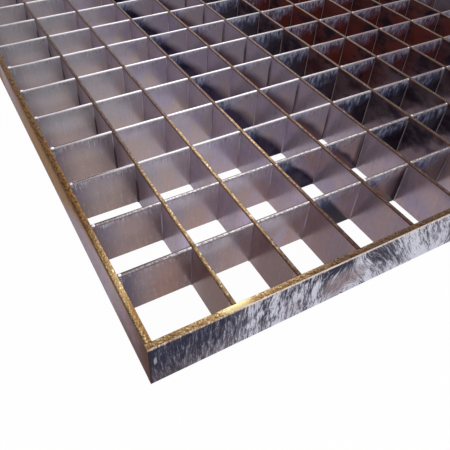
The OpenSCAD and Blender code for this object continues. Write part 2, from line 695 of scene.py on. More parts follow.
def measure_cross_bars(f):
    """Adds to the finish where a point lies in its own cell, and a few masks for rows and columns."""
    f.read_place()
    in_first_column = f.x.ramp(FIRST_BEARING + 0.1, FIRST_BEARING - 0.1)
    from_bar = (f.x - FIRST_BEARING).modulo(PITCH)
    f.along = from_bar * (1 - in_first_column) + (f.x - LEFT - BAND_WIDTH) * in_first_column
    f.depth = CROSS_TOP - f.z
    f.from_front = f.y - FRONT
    f.near_side = f.ny.ramp(0.2, -0.2)
    f.first_row = f.from_front.ramp(60, 50)
    f.near_rows = f.from_front.ramp(100, 60)
    f.from_third = f.x.ramp(bar_x(3) - 0.5, bar_x(3) + 0.5)
    f.from_fourth = f.x.ramp(bar_x(4) - 0.5, bar_x(4) + 0.5)
    # The painted dark stretch, on the near faces only.
    f.dark = painted_dark_stretch(f, bar_x(5) - 6) * f.x.ramp(bar_x(5) - 0.5, bar_x(5) + 0.5) * f.near_side
    f.hue = f.noise((13, 13, 15), detail=4, roughness=0.6, shift=(5, 5, 5))
    f.drip = f.noise((1.1, 1.1, 3), detail=5, roughness=0.7, shift=(1, 2, 3))
    f.spread = f.noise((7, 7, 7), detail=3, shift=(4, 4, 4))


# %% Plain steel of the cross bars


def cross_wall(f, brushed):
    """The clean steel, with painted shade at both sides of the first column of cells, in its corners."""
    mottled = (f.hue * 0.6 + f.depth * 0.014 + 0.04).ramp(0.3, 0.64)
    pinker = (f.hue * 0.5 + f.along * 0.011 + f.depth * 0.006).ramp(0.3, 0.62)
    lilac = f.x.ramp(bar_x(1) + 10, bar_x(2) + 10) * f.x.ramp(bar_x(5), bar_x(4))
    column = f.x.ramp(bar_x(1) + 2, bar_x(1) - 2)
    tan_rows = f.from_front.ramp(50, 75) * f.from_front.ramp(150, 120)
    painted_sheen = f.x.ramp(bar_x(1) - 14, bar_x(1) + 4) * f.x.ramp(bar_x(3), bar_x(3) - 6)
    far_left_highlight = f.from_front.ramp(125, 160) * f.x.ramp(bar_x(3), bar_x(1))
    wall = f.glaze(
        f.blend((166, 160, 174), (182, 164, 162), mottled),
        (f.blend((146, 136, 148), (168, 140, 134), pinker), f.from_front.ramp(110, 40) * 0.9),
        ((174, 160, 186), lilac * f.hue.ramp(0.6, 0.4) * 0.6),
        # Painted shade at the right and left sides of the first column of cells.
        ((112, 98, 108), column * f.along.ramp(18, 31) * (0.6 - f.from_front.ramp(110, 160) * 0.3)),
        ((90, 80, 102), column * f.along.ramp(13, 1) * (0.6 + f.from_front.ramp(50, 35) * 0.2)),
        ((168, 112, 80), column * f.first_row * f.along.ramp(8, 18) * f.along.ramp(31, 23) * 0.26),
        ((116, 96, 96), column * f.depth.ramp(8, 16) * 0.25),
        ((132, 108, 92), column * tan_rows * 0.22),
        # A painted sheen under the crown, and a painted highlight on the upper part in the far rows.
        ((206, 198, 212), painted_sheen * f.depth.ramp(11, 3) * f.hue.ramp(0.3, 0.6) * 0.45),
        ((196, 198, 194), far_left_highlight * f.depth.ramp(16, 4) * 0.35),
        ((98, 86, 98), brushed.ramp(0.48, 0.3) * 0.34),
        ((222, 214, 220), brushed.ramp(0.52, 0.72) * 0.34))
    # Faces that look back are painted pale, as if lit from behind.
    return f.blend((205, 200, 206), wall, f.near_side * 0.85 + 0.15)


# %% The painted slanting reflections


def slanting_reflection_mask(f, fringe):
    """1 left of a line that slants down to the right across each cell, softer in the far rows."""
    in_rows = 7.5 + f.depth * 0.85 + f.depth.ramp(5, 13) * 3 - f.from_fourth * 0.5
    in_first_row = 8 + f.depth * 0.86 - f.from_fourth * (2 - f.depth * 0.03)
    reach = in_rows * (1 - f.first_row) + f.first_row * in_first_row
    soft = 1.8 + f.from_front.ramp(50, 130) * 3.2
    return ((f.along - reach + fringe) / soft).ramp(1, -1) * f.near_side


def navy_painted_reflection(f, fringe):
    """Painted reflection right of the third bearing bar: navy, bluer at the upper left, browner below."""
    low_left = (f.along - f.depth * 0.82 + fringe * 0.4).ramp(3, 0.5) * f.depth.ramp(8, 14)
    upper_left = (f.along - 6).ramp(12, 4) * f.depth.ramp(12, 2)
    return f.glaze(
        f.blend((30, 23, 44), (56, 46, 64), f.hue.ramp(0.4, 0.6)),
        ((62, 62, 90), upper_left * (0.6 + f.first_row * 0.3)),
        ((32, 16, 32), f.first_row * f.depth.ramp(6, 18) * 0.8),
        ((70, 44, 44), low_left * 0.7))


def brown_painted_reflection(f, fringe):
    """Painted reflection right of the fourth bearing bar: red brown, and greyer toward the right."""
    across = (f.along - 1 - f.depth * 0.98 + fringe * 0.6).ramp(0, 5)
    return f.glaze(
        f.blend((92, 56, 50), (74, 62, 78), across),
        ((132, 82, 70), f.first_row * f.depth.ramp(4, 14) * 0.6))


# %% All the stains and painted light of the cross bars


def cross_stains(f, wall):
    """The wall's colour under painted slanting reflections and dark stretch, rust and small pits.

    The fifth column has painted light of its own: a dark upright stripe of painted shade at its right
    corner, with a softer painted shade beside it and a painted highlight under the crown.
    """
    fringe = (f.noise((6, 6, 9), detail=3, roughness=0.55) - 0.5) * (2.4 - f.first_row)
    # A painted reflection of a shadowed floor, in the columns right of the third bearing bar.
    painted_reflection = f.blend(navy_painted_reflection(f, fringe), brown_painted_reflection(f, fringe), f.from_fourth)
    in_fifth = f.from_fourth * f.x.ramp(bar_x(5) + 1, bar_x(5))
    # Painted shade in the fifth column: a dark stripe at the right corner and a softer shade beside it.
    stripe = (f.along + f.depth * 0.03).ramp(24, 27) * in_fifth * (0.6 + f.depth.ramp(0, 9) * 0.4)
    stripe = stripe * f.from_front.ramp(90, 50)
    beside = (f.along + f.depth * 0.2).ramp(15, 27) * in_fifth * f.depth.ramp(2, 9) * f.first_row
    # A painted highlight under the crown in the fifth column.
    gleam = f.along.ramp(2, 9) * f.along.ramp(21, 12) * f.depth.ramp(10, 3) * in_fifth * f.first_row
    # The colour of the painted dark stretch.
    deep = f.blend((30, 28, 42), (76, 68, 80), (f.hue * 0.7 + f.from_front * 0.0012).ramp(0.34, 0.62))
    rust = f.noise((55, 55, 30), detail=3, shift=(2, 4, 5)).ramp(0.5, 0.6)
    rusty = (f.hue + f.depth * 0.01).ramp(0.36, 0.56)
    # Painted shade in the right corner of each cell from the fourth column on.
    painted_corner_shade = f.along.ramp(27.5, 28.4) * f.depth.ramp(1, 10) * f.from_fourth
    pit = f.noise((1.6, 1.6, 1.6), detail=2, roughness=0.6, shift=(3, 9, 1)).ramp(0.3, 0.24)
    return f.glaze(
        wall,
        (painted_reflection, slanting_reflection_mask(f, fringe) * f.from_third),
        ((58, 46, 56), beside * f.near_side * 0.72),
        ((176, 178, 200), gleam * f.near_side * f.drip.ramp(0.4, 0.6) * 0.5),
        ((42, 30, 42), stripe * f.near_side * 0.92),
        (deep, f.dark),
        # Rust colour that also stands for a painted dark red reflection, on the dark stretch and beyond.
        ((104, 52, 46), rust * f.dark * (0.05 + f.from_front.ramp(105, 150) * 0.5)),
        ((112, 50, 38), rust_and_red_reflection(f) * rusty * 0.75),
        ((30, 22, 30), painted_corner_shade),
        ((70, 44, 52), pit * f.from_front.ramp(80, 50) * 0.7))


# %% White drips under the upper edge


def cross_drips(f, wall):
    """Hanging strands of zinc, and light and dark specks close under the crown."""
    strand = f.noise((0.6, 0.6, 6), detail=3, roughness=0.6, shift=(4, 0, 2))
    hang = ((strand - 0.49 + (f.spread - 0.5) * 0.5) * 26 - f.depth).ramp(-1.5, 2.5)
    hang = hang * (1 - f.from_third * f.along.ramp(6, 20)) * (1 - f.first_row * 0.7)
    specks = (f.depth - f.spread * 5 + (1 - f.along.ramp(4, 22)) * 1.5).ramp(3, -1)
    return f.glaze(
        wall,
        ((206, 208, 222), hang * f.near_side * 0.6),
        ((210, 206, 214), specks * f.drip.ramp(0.52, 0.66) * 0.6),
        ((78, 70, 80), specks * f.drip.ramp(0.46, 0.34) * 0.55))


# %% Frost on the dark faces


def frost(f):
    """The icy colour, and how thickly it lies: below the crown, and deeper toward the left."""
    to_left = (f.along - f.first_row * f.from_fourth * 10) * (0.5 - f.dark * 0.3)
    thick = (f.depth - 5 - f.spread * (7 + f.dark * 4) + to_left).ramp(4, -3)
    thick = thick * f.near_side * (f.from_third * 0.9).at_least(f.dark)
    rime = f.noise((2, 2, 5), detail=4, roughness=0.6, shift=(1, 7, 3)) * 0.6 + f.drip * 0.4
    icy = f.blend((92, 98, 136), (186, 190, 216), (rime + f.depth.ramp(5, 0) * 0.1).ramp(0.46, 0.66))
    return icy, thick * rime.ramp(0.3, 0.6)


# %% [markdown]
# The crown of a cross bar is rounder than the others, as if zinc had gathered on it. Its colour is a
# painted highlight, nearly white on the left and toward the back, which breaks up into separate
# sparks in the first rows. Its far side there is painted in brown shade, which keeps the bright line
# thin.

# %% The crowns of the cross bars
SOFT_CROWN_EDGE = 0.35


def cross_crown(f):
    """The colour of the crowns, and 1 on them with 0 on the walls."""
    speck = f.noise((1.0, 0.7, 0.7), detail=3, roughness=0.7, shift=(9, 1, 4))
    # The ridge, the far-left light and the sparks make a painted highlight on the crown.
    ridge = f.x.ramp(bar_x(0), bar_x(1)).at_least(f.from_front.ramp(130, 170) * 0.4)
    ridge = ridge * f.x.ramp(bar_x(8), bar_x(4)).at_least(f.from_front.ramp(170, 220) * 0.5)
    far_left_highlight = f.from_front.ramp(80, 150) * f.x.ramp(bar_x(7), bar_x(2))
    sparks = (speck - 0.5) * (0.8 + f.near_rows * 2.4)
    silver = ridge * 0.43 - f.near_rows * 0.05 + far_left_highlight * 0.36 + sparks
    off_centre = off_nearest(f.y, FIRST_CROSS)
    # Painted brown shade on the far side of the crown.
    painted_far_shade = (off_centre - ridge * 0.2 + (speck - 0.5) * 0.8).ramp(-0.2, 0.15)
    shaded = f.from_front.ramp(80, 62).at_least(f.x.ramp(bar_x(1) + 2, bar_x(1) - 22))
    crown = f.glaze(
        f.blend((122, 108, 111), (234, 230, 234), silver.ramp(-0.12, 0.85)),
        ((74, 56, 47), painted_far_shade * shaded * 0.95),
        ((120, 111, 121), off_centre.absolute().ramp(0.4, 0.95) * 0.7))
    level = f.z + f.near_rows * f.near_side * 0.3
    return crown, level.ramp(CROSS_TOP - CROWN_DEPTH, CROSS_TOP - CROWN_DEPTH + SOFT_CROWN_EDGE)


# %% Put the cross bars' finish together


def cross_finish():
    """The wall under its stains, drips and frost, with the crown over all of them."""
    f = Finish("cross_bar_steel")
    measure_cross_bars(f)
    streak = f.noise((0.8, 0.8, 12), detail=4, roughness=0.65)
    grain = f.noise((1.5, 1.5, 2.2), detail=4, roughness=0.7, shift=(6, 2, 2))
    brushed = streak * 0.5 + grain * 0.5
    icy, thick = frost(f)
    crown, top = cross_crown(f)
    wall = cross_drips(f, cross_stains(f, cross_wall(f, brushed)))
    colour = f.glaze(wall, (icy, thick * 0.6), (crown, top))
    rough = 0.22 + brushed * 0.08 + thick * 0.25 + top * 0.1
    relief = f.bump(brushed * 0.25 + thick * f.drip, GRAIN_RELIEF)
    return f.done(colour, rough, 0.5 - thick * 0.3, relief)


cross_steel = cross_finish()
print("finish:", cross_steel.name, "with", len(cross_steel.node_tree.nodes), "nodes")

# %% [markdown]
# ## The crowns of the banding
#
# The banding is a flat bar as well, half as thick again as the others. Its crown is brass under a
# painted highlight near the corner and dull bronze further off. Fine flecks and short slanting
# strands, mixed into one value, say how bright each point is, and the same value makes its relief.

# %% Brass and bronze on a banding crown
STRAND_LEAN = 0.35


def gilt_crown(f, painted_highlight, strand_size):
    """The crown's colour, bronze, or brass where the painted highlight is 1, and how worn each fleck is.
    """
    fleck = f.noise((0.8, 0.8, 0.8), detail=3, roughness=0.7)
    strand = f.noise(strand_size, detail=3, roughness=0.6, distortion=0.5, shift=(8, 8, 8),
                     lean=(0, 0, STRAND_LEAN))
    worn = fleck * 0.6 + strand * 0.4
    gold = f.blend((106, 79, 50), (158, 129, 90), worn.ramp(0.4, 0.54))
    gold = f.blend(gold, (230, 208, 160), worn.ramp(0.54, 0.62))
    bronze = f.blend((55, 39, 27), (106, 82, 65), worn.ramp(0.38, 0.62))
    return f.blend(bronze, gold, painted_highlight + (worn - 0.5) * 0.3), worn


# %% [markdown]
# ## The finish of the side banding
#
# The outside of the left banding turns from mauve steel at the corner to tan further back, and the
# tan comes down over it along a slant. Its upper rim is brown where the rust of the crown has run
# over the edge. The far stretches, which lie out of sight of the near corner, have the tan in
# patches of their own.

# %% The outer faces of the side banding


def side_band_face(f, mottle):
    """Mauve steel near the corner and tan behind it, rubbed lengthwise and rusty under the rim."""
    cloud = f.noise((30, 30, 20), detail=4)
    lengthwise = f.noise((60, 60, 30), detail=4, roughness=0.6, shift=(0, 5, 9))
    rub = f.noise((3, 7, 0.8), detail=4, roughness=0.7, shift=(2, 0, 6), lean=(0.5, 0, 0))
    down = TOP - f.z
    tan = (f.from_corner * 0.4 - down + (cloud - 0.5) * 14 - 22).ramp(-6, 8)
    elsewhere = f.from_corner.ramp(150, 230).at_least(f.x.ramp(-100, 0))
    patches = (lengthwise + (mottle - 0.5) * 0.3).ramp(0.42, 0.6)
    tan = tan * (1 - elsewhere) + elsewhere * patches
    # A painted highlight on the upper part of the face, behind the corner.
    painted_glow = down.ramp(12, 3) * f.from_corner.ramp(20, 36) * f.from_corner.ramp(84, 60)
    spill = (down + mottle * 6 - 3).ramp(3.2, 1.4) * f.from_corner.ramp(60, 100)
    return f.glaze(
        f.blend((92, 62, 56), (146, 124, 130), (f.from_corner + cloud * 14).ramp(8, 27)),
        ((172, 158, 172), (f.from_corner + cloud * 16).ramp(24, 48)),
        ((176, 152, 152), mottle.ramp(0.4, 0.62) * f.from_corner.ramp(8, 24) * 0.6),
        (f.blend((138, 98, 54), (162, 130, 100), (down + mottle * 8).ramp(3, 17)), tan),
        ((198, 168, 150), painted_glow * 0.3),
        ((86, 66, 66), rub.ramp(0.48, 0.32) * 0.35),
        ((204, 190, 192), rub.ramp(0.54, 0.7) * 0.35),
        ((112, 88, 86), down.ramp(10, 22) * f.from_corner.ramp(44, 24) * 0.6),
        ((112, 72, 36), down.ramp(3.0, 0.8) * (0.4 + f.from_corner.ramp(40, 90) * 0.5)),
        ((74, 48, 26), spill * 0.8),
        ((44, 34, 40), f.from_corner.ramp(2.0, 0.6)))


# %% The crowns of the side banding
GLOW_CENTRE = 27


def side_band_crown(f):
    """Brass under painted highlight by the corner; behind, brown with dark outer and greyer inner half."""
    on_left_side = f.x.ramp(0, -50)
    # The painted highlight that makes the crown brass near the corner.
    painted_highlight = f.from_corner.ramp(-26, 8) * f.from_corner.ramp(98, 32) * on_left_side
    gilt, worn = gilt_crown(f, painted_highlight, (0.6, 3.0, 1.0))
    # A brighter painted highlight, centred a set distance behind the corner.
    painted_glow = (f.from_corner - GLOW_CENTRE + (worn - 0.5) * 20).absolute().ramp(15, 3) * on_left_side
    patchy = f.noise((1.1, 2.2, 1.1), detail=4, roughness=0.65, shift=(5, 2, 5))
    across = f.x - LEFT
    crown = f.glaze(
        gilt,
        ((226, 200, 148), painted_glow * 0.2),
        ((66, 42, 22), across.ramp(0.9, 0.3) * 0.8),
        ((112, 96, 78), across.ramp(1.8, 2.6) * f.from_corner.ramp(40, 80) * 0.8),
        ((122, 80, 42), (across + worn).ramp(2.1, 2.7) * f.from_corner.ramp(30, 20) * 0.75),
        (f.blend((58, 37, 18), (124, 86, 44), patchy.ramp(0.4, 0.6)), f.from_corner.ramp(36, 80) * 0.7))
    return crown, worn


# %% Put the side banding's finish together


def side_band_finish():
    """A dull outer face, since it has the most rust, and a crown that shines more."""
    f = Finish("side_band_steel")
    f.read_place()
    f.from_corner = f.y - FRONT
    mottle = f.noise((5, 5, 5), detail=4, roughness=0.6, shift=(3, 3, 3))
    crown, worn = side_band_crown(f)
    top = on_crown(f)
    colour = f.blend(side_band_face(f, mottle), crown, top)
    relief = f.bump(worn * top + mottle * (1 - top), GRAIN_RELIEF)
    return f.done(colour, 0.42 - top * 0.05, 0.08 + top * 0.6, relief)


side_band_steel = side_band_finish()
print("finish:", side_band_steel.name, "with", len(side_band_steel.node_tree.nodes), "nodes")

# %% [markdown]
# ## The finish of the front and back banding
#
# This face is the showpiece. It looks like zinc that ran down while it cooled and set in feathers,
# black between and silver along them. Three clouds of noise, each stretched along Z and finer than
# the last, add up to one feathered value. Dark and bright stretches come from a bias that is added
# to it, so that a bright stretch is one where more of the feathers pass for silver, and not a pale
# haze over them. A hand's width from the corner the feathers lean over, which is done by shearing
# the place that the clouds read.

# %% Where the feathers are dense or thin
BRIGHT_STREAKS = ((45, 3.5), (54.5, 2.5), (75.5, 3.5), (100, 2.5), (131, 5))
DARK_STREAKS = ((49.8, 1.0), (114, 8))
BRIGHTER = 0.07
DARKER = 0.085


def streak_bias(f, wander):
    """What the bright and dark streaks add. Each has a centre and half a width, from the left end."""
    bias = 0.0
    for centre, half in BRIGHT_STREAKS:
        bias = (wander - centre).absolute().ramp(half * 1.2, half * 0.3) * BRIGHTER + bias
    for centre, half in DARK_STREAKS:
        above_foot = f.low.ramp(0.1, 0.6)
        bias = bias - (wander - centre).absolute().ramp(half * 1.3, half * 0.2) * above_foot * DARKER
    return bias


def stretch_bias(f, broad):
    """What the broad stretches add: dark at the left end, bright feet, a dark upper right."""
    from_left, low = f.from_left, f.low
    dawn = (from_left - f.z * 0.7 + (broad - 0.5) * 12).ramp(14, 28)
    left_end = from_left.ramp(36, 28) * low.ramp(0.2, 0.6)
    # The bright feet are a painted reflection of the floor in front.
    feet = low.ramp(0.5, 0.0) * from_left.ramp(44, 60)
    left_feet = low.ramp(0.4, 0.1) * from_left.ramp(10, 18) * from_left.ramp(44, 34)
    middle = from_left.ramp(55, 58) * from_left.ramp(72, 64) * low.ramp(0.95, 0.5)
    upper = low.ramp(0.6, 0.95) * from_left.ramp(71, 79) * from_left.ramp(94, 90)
    bias = dawn * 0.06 - 0.025 + from_left.ramp(90, 96) * 0.038 - left_end * 0.028
    bias = bias + feet * 0.04 + middle * 0.05 + left_feet * 0.03 - upper * 0.15
    beyond = (f.noise((14, 14, 60), detail=2, shift=(9, 0, 0)) - 0.45) * 0.6
    return bias + f.beyond * beyond


# %% The feathers themselves


def feathers(f):
    """How silver each point is, from 0 to 1, with the broad and the two finer clouds it came from."""
    from_left = f.from_left
    lean = from_left.ramp(84, 100) * 0.75 - from_left.ramp(78, 86) * (1 - from_left.ramp(90, 98)) * 0.5
    lean = lean * from_left.ramp(160, 140) + (f.noise((50, 50, 50), detail=1) - 0.5) * 0.5
    swayed = f.x + (f.z - 12) * lean
    place = f.add("ShaderNodeCombineXYZ", None, {0: swayed, 1: f.y, 2: f.z}).outputs[0]
    broad = f.noise((1.6, 1.6, 9), detail=3, roughness=0.6, distortion=0.9, place=place)
    fine = f.noise((0.55, 0.55, 5.5), detail=3, roughness=0.65, distortion=0.7, shift=(3, 3, 3),
                   place=place)
    crisp = f.noise((0.3, 0.3, 1.4), detail=2, roughness=0.7, shift=(6, 1, 3), place=place)
    feather = broad * 0.42 + fine * 0.38 + crisp * 0.2
    wander = swayed - LEFT + (f.noise((5, 5, 6), detail=3, shift=(2, 0, 7)) - 0.5) * 9
    bias = stretch_bias(f, broad) + streak_bias(f, wander)
    contrast = 3.0 + from_left.ramp(26, 74) * 2.1 - from_left.ramp(90, 112) * 1.9
    silver = ((feather - 0.5) * contrast + bias * 3.3 + 0.33).ramp(0.0, 1.0)
    return silver, feather, fine, crisp


# %% Smooth mauve patches between the feathers
PATCH_FROM_LEFT = 89.5
PATCH_HEIGHT = 10.5


def bare_patches(f):
    """Where the zinc lies smooth: a round patch, the feet at the left, and a few gaps between."""
    from_left = f.from_left
    patch = (f.noise((8, 8, 8), detail=4, roughness=0.6, shift=(11, 0, 4)) - 0.5) * 14
    away = (((from_left - PATCH_FROM_LEFT) * 0.62) ** 2 + (f.z - PATCH_HEIGHT) ** 2) ** 0.5
    away = away + patch * 0.5
    level = f.z + patch * 0.5
    feet = from_left.ramp(46, 30) * level.ramp(11, 4)
    wide_gap = from_left.ramp(58, 62) * from_left.ramp(72, 67) * level.ramp(16, 10)
    slim_gap = (from_left - 51).absolute().ramp(3, 1) * level.ramp(12, 7) * 0.7
    smooth = (away.ramp(10, 4) * 1.2).at_least(feet * 0.75).at_least((wide_gap + slim_gap) * 0.45)
    elsewhere = f.beyond * f.noise((22, 22, 22), detail=2, shift=(1, 0, 8)).ramp(0.55, 0.63) * 0.8
    return smooth.at_least(elsewhere)


# %% The face of the front and back banding
SPLASH_FROM_LEFT = 2.6
SPLASH_DOWN = 9


def end_band_face(f, silver, fine, end_cap):
    """Feathered zinc, mauve patches, the dark corner with its one pale splash, and the cut end."""
    down = TOP - f.z
    zinc = f.blend((34, 33, 56), (112, 108, 122), silver.ramp(0.0, 0.5))
    zinc = f.blend(zinc, (214, 214, 228), silver.ramp(0.4, 1.0))
    mauve = f.blend((84, 68, 78), (136, 116, 120), f.from_left.ramp(35, 70))
    mauve = f.blend(mauve, (176, 164, 174), fine.ramp(0.45, 0.65) * 0.5)
    splash = ((f.from_left - SPLASH_FROM_LEFT) * 1.9) ** 2 + ((down - SPLASH_DOWN) * 0.55) ** 2
    return f.glaze(
        zinc,
        (mauve, bare_patches(f) * 0.62),
        ((34, 26, 34), f.from_left.ramp(1.4, 0.4)),
        ((104, 74, 70), end_cap),
        ((190, 190, 204), (splash + (fine - 0.5) * 7).ramp(2.6, 0.2) * 0.6))


# %% The crown of the front and back banding
BLAZE_CENTRE = 36.5


def end_band_crown(f):
    """Brass under a painted highlight that fades toward the right, brightest in one painted stretch."""
    in_front = f.y.ramp(0, -50)
    # A painted highlight on the crown, and its brightest stretch below.
    painted_highlight = (f.from_left.ramp(6, 30) * 0.4 + 0.6) * f.from_left.ramp(92, 36) * in_front
    gilt, worn = gilt_crown(f, painted_highlight, (3.0, 0.6, 1.0))
    painted_blaze = (f.from_left - BLAZE_CENTRE + (worn - 0.5) * 20).absolute().ramp(8.5, 3) * in_front
    return f.blend(gilt, (236, 220, 168), painted_blaze * 0.65), worn


# %% [markdown]
# The streaks and patches above belong to one hand's width of the front face. The rest of it, and the
# back face, must not look as if they were copied from there. So they count as beyond, where broad
# clouds of their own take the place of the streaks.

# %% Put the end banding's finish together
BEYOND_FROM = 140
BEYOND_FULLY = 150


def end_band_finish():
    """Feathered face, brass crown, and a painted highlight along the rim where the two meet."""
    f = Finish("end_band_zinc")
    f.read_place()
    f.from_left = f.x - LEFT
    f.low = f.z / TOP
    f.beyond = f.from_left.ramp(BEYOND_FROM, BEYOND_FULLY).at_least(f.y.ramp(-50, 0))
    silver, feather, fine, crisp = feathers(f)
    end_cap = f.nx.absolute().ramp(0.5, 0.8)
    crown, worn = end_band_crown(f)
    top = on_crown(f)
    # A painted highlight along the outer top edge.
    rim = f.blend((150, 126, 112), (240, 224, 216), f.from_left.ramp(34, 44).at_least(fine.ramp(0.5, 0.6)))
    on_rim = (f.y - FRONT + (crisp - 0.5) * 0.6).ramp(0.45, 0.15) * f.z.ramp(TOP - 1.1, TOP - 0.7)
    colour = f.glaze(
        end_band_face(f, silver, fine, end_cap),
        (crown, top),
        (rim, on_rim * crisp.ramp(0.36, 0.5) * 0.9))
    rough = 0.32 - silver * 0.05 + top * 0.05 + end_cap * 0.2
    metal = (0.4 + top * 0.25) * (1 - end_cap * 0.8)
    relief = f.bump(worn * top + feather * (1 - top) * 3, FEATHER_RELIEF)
    return f.done(colour, rough, metal, relief)


end_band_zinc = end_band_finish()
print("finish:", end_band_zinc.name, "with", len(end_band_zinc.node_tree.nodes), "nodes")

# %% [markdown]
# ## The zinc that gathers in corners and on crowns
#
# Molten zinc creeps into every inner corner and sets there as a slim upright slip, and it hangs as
# bright drops beside the crossings. Both are zinc and nothing else, so their finishes are simple:
# pale with a little grain. In the first and fifth columns, in the first row and on the painted dark
# stretch, the slips carry painted shade.

# %% Pooled zinc in the corners


def corner_zinc():
    """Pale zinc, with painted shade in the first and fifth columns, the first row and the dark stretch."""
    f = Finish("pooled_zinc")
    f.read_place()
    grain = f.noise((3, 3, 14), detail=2)
    from_front = f.y - FRONT
    first_column = f.x.ramp(bar_x(1) + 6, bar_x(1) + 4) * (f.z + grain * 12).ramp(27, 19)
    fifth_column = f.x.ramp(bar_x(4) + 6, bar_x(4) + 8) * f.x.ramp(bar_x(5) + 6, bar_x(5) + 4)
    near = from_front.ramp(50, 40) * f.x.ramp(bar_x(2) + 10, bar_x(2)) * (f.x - LEFT).ramp(8, 12)
    # Painted shade on the slips in the first and fifth columns and in the first row.
    painted_slip_shade = first_column.at_least(fifth_column * 0.7) * from_front.ramp(70, 90)
    colour = f.glaze(
        f.blend((124, 110, 120), (168, 158, 168), grain.ramp(0.36, 0.64)),
        (f.blend((44, 34, 44), (112, 90, 102), near), painted_slip_shade.at_least(near * 0.9) * 0.85),
        ((112, 96, 98), painted_dark_stretch(f, bar_x(5) + 5) * 0.8))
    return f.done(colour, 0.3, 0.3)


# %% Bright drops


def drop_zinc():
    """Nearly white zinc, the brightest thing on the panel."""
    f = Finish("zinc_beads")
    f.read_place()
    grain = f.noise((0.8, 0.8, 0.8), detail=3)
    return f.done(f.blend((225, 220, 226), (250, 250, 252), grain.ramp(0.4, 0.6)), 0.3, 0.3)


pooled_zinc = corner_zinc()
bright_zinc = drop_zinc()
print("finishes:", pooled_zinc.name, "and", bright_zinc.name)

# %% [markdown]
# ## Making the bars
#
# The row tree now makes all the bars. The CAD grid is one node, since its bars are fused where they
# cross, so both rows stand in for that node. The bearing bars have crisp edges, as rolled flat bar
# has. The cross bars get a rounder crown.

# %% The two rows of bars
BEARING_EDGE = 0.35 * MM
CROSS_EDGE = 0.6 * MM
BEARING_WAVER = 0.15 * MM
CROSS_WAVER = 0.3 * MM
ALONG_Y = math.pi / 2

bearing_bars = made_by(BAR_ROW, "bearing_bars", {
    "Length": grid_high.y - grid_low.y, "Thickness": bearing["thick"], "Height": bearing_top,
    "Edge radius": BEARING_EDGE, "Waver": BEARING_WAVER,
    "Start": (bearing["first"], grid_low.y, bearing_top / 2),
    "Turn": ALONG_Y, "Step": (bearing["pitch"], 0, 0), "Count": bearing["count"],
    "Finish": bearing_steel})
cross_bars = made_by(BAR_ROW, "cross_bars", {
    "Length": grid_high.x - grid_low.x, "Thickness": cross["thick"], "Height": cross_top,
    "Edge radius": CROSS_EDGE, "Waver": CROSS_WAVER,
    "Start": (grid_low.x, cross["first"], cross_top / 2),
    "Turn": 0.0, "Step": (0, cross["pitch"], 0), "Count": cross["count"],
    "Finish": cross_steel})
for piece in (bearing_bars, cross_bars):
    dress(piece, ["bar_grid"])

# %% [markdown]
# ## Making the banding
#
# Four single bars close the frame. Each takes its place and size from its own CAD node, so nothing
# is measured twice, and each is swept along its longer side.

# %% The four banding bars


def banding(node):
    """One banding bar in the place of its CAD node."""
    low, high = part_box(node)
    size = high - low
    lengthwise = size.y > size.x
    middle = (low + high) / 2
    start = (middle.x, low.y, middle.z) if lengthwise else (low.x, middle.y, middle.z)
    piece = made_by(BAR_ROW, node + "ing", {
        "Length": max(size.x, size.y), "Thickness": min(size.x, size.y), "Height": size.z,
        "Edge radius": BEARING_EDGE, "Waver": BEARING_WAVER, "Start": start,
        "Turn": ALONG_Y if lengthwise else 0.0, "Step": (0, 0, 0), "Count": 1,
        "Finish": side_band_steel if lengthwise else end_band_zinc})
    dress(piece, [node])


for node in ("front_band", "back_band", "left_band", "right_band"):
    banding(node)

# %% [markdown]
# ## Slips of zinc in the corners
#
# Without them the crossings look like paper slots. Each slip is a small four-sided profile with a
# hollow front, extruded upward and closed below. There are 1,500 at the crossings alone, which is
# why a slip has only six faces, and why a tree sets them out instead of a hand. One tree serves all
# four corners of a crossing: only the quarter turn and the reach differ.

# %% Points on the crossings


def crossings(t, given):
    """Points in rows and columns, from the first one, the step and the two counts."""
    def line(count, offset, start=(0, 0, 0)):
        return t.add("GeometryNodeMeshLine", {"mode": "OFFSET"},
                     {"Count": count, "Offset": offset, "Start Location": start})

    row = line(given["Count X"], t.add("ShaderNodeCombineXYZ", None, {"X": given["Step"]}))
    to_next_row = t.add("ShaderNodeCombineXYZ", None, {"Y": given["Step"]})
    rows = line(given["Count Y"], to_next_row, given["First"])
    copies = t.add("GeometryNodeInstanceOnPoints", None, {"Points": rows, "Instance": row})
    return t.add("GeometryNodeRealizeInstances", None, {"Geometry": copies})


# %% One upright slip
HOLLOW = 0.28
WELD = 0.001 * MM


def upright_slip(t, given):
    """A closed slip that fills the corner between two walls, with its hollow side to the open cell."""
    reach = Maths(t, given["Reach"])
    side_x = Maths(t, given["Inset X"])
    side_y = Maths(t, given["Inset Y"])
    hollow = reach * HOLLOW

    def point(x, y):
        return t.add("ShaderNodeCombineXYZ", None, {"X": x, "Y": y, "Z": given["Low"]}).outputs[0]

    profile = t.add("GeometryNodeCurvePrimitiveQuadrilateral", {"mode": "POINTS"}, {
        "Point 1": point(side_x, side_y), "Point 2": point(side_x + reach, side_y),
        "Point 3": point(side_x + hollow, side_y + hollow), "Point 4": point(side_x, side_y + reach)})
    foot = t.add("GeometryNodeFillCurve", {"mode": "NGONS"}, {"Curve": profile})
    rise = Maths(t, given["High"]) - Maths(t, given["Low"])
    raised = t.add("GeometryNodeExtrudeMesh", {"mode": "FACES"}, {"Mesh": foot, "Offset Scale": rise})
    under = t.add("GeometryNodeFlipFaces", None, {"Mesh": foot})
    slip = t.add("GeometryNodeJoinGeometry")
    t.tree.links.new(raised.outputs["Mesh"], slip.inputs[0])
    t.tree.links.new(under.outputs["Mesh"], slip.inputs[0])
    return t.add("GeometryNodeMergeByDistance", None, {"Geometry": slip, "Distance": WELD})


# %% The tree for the slips


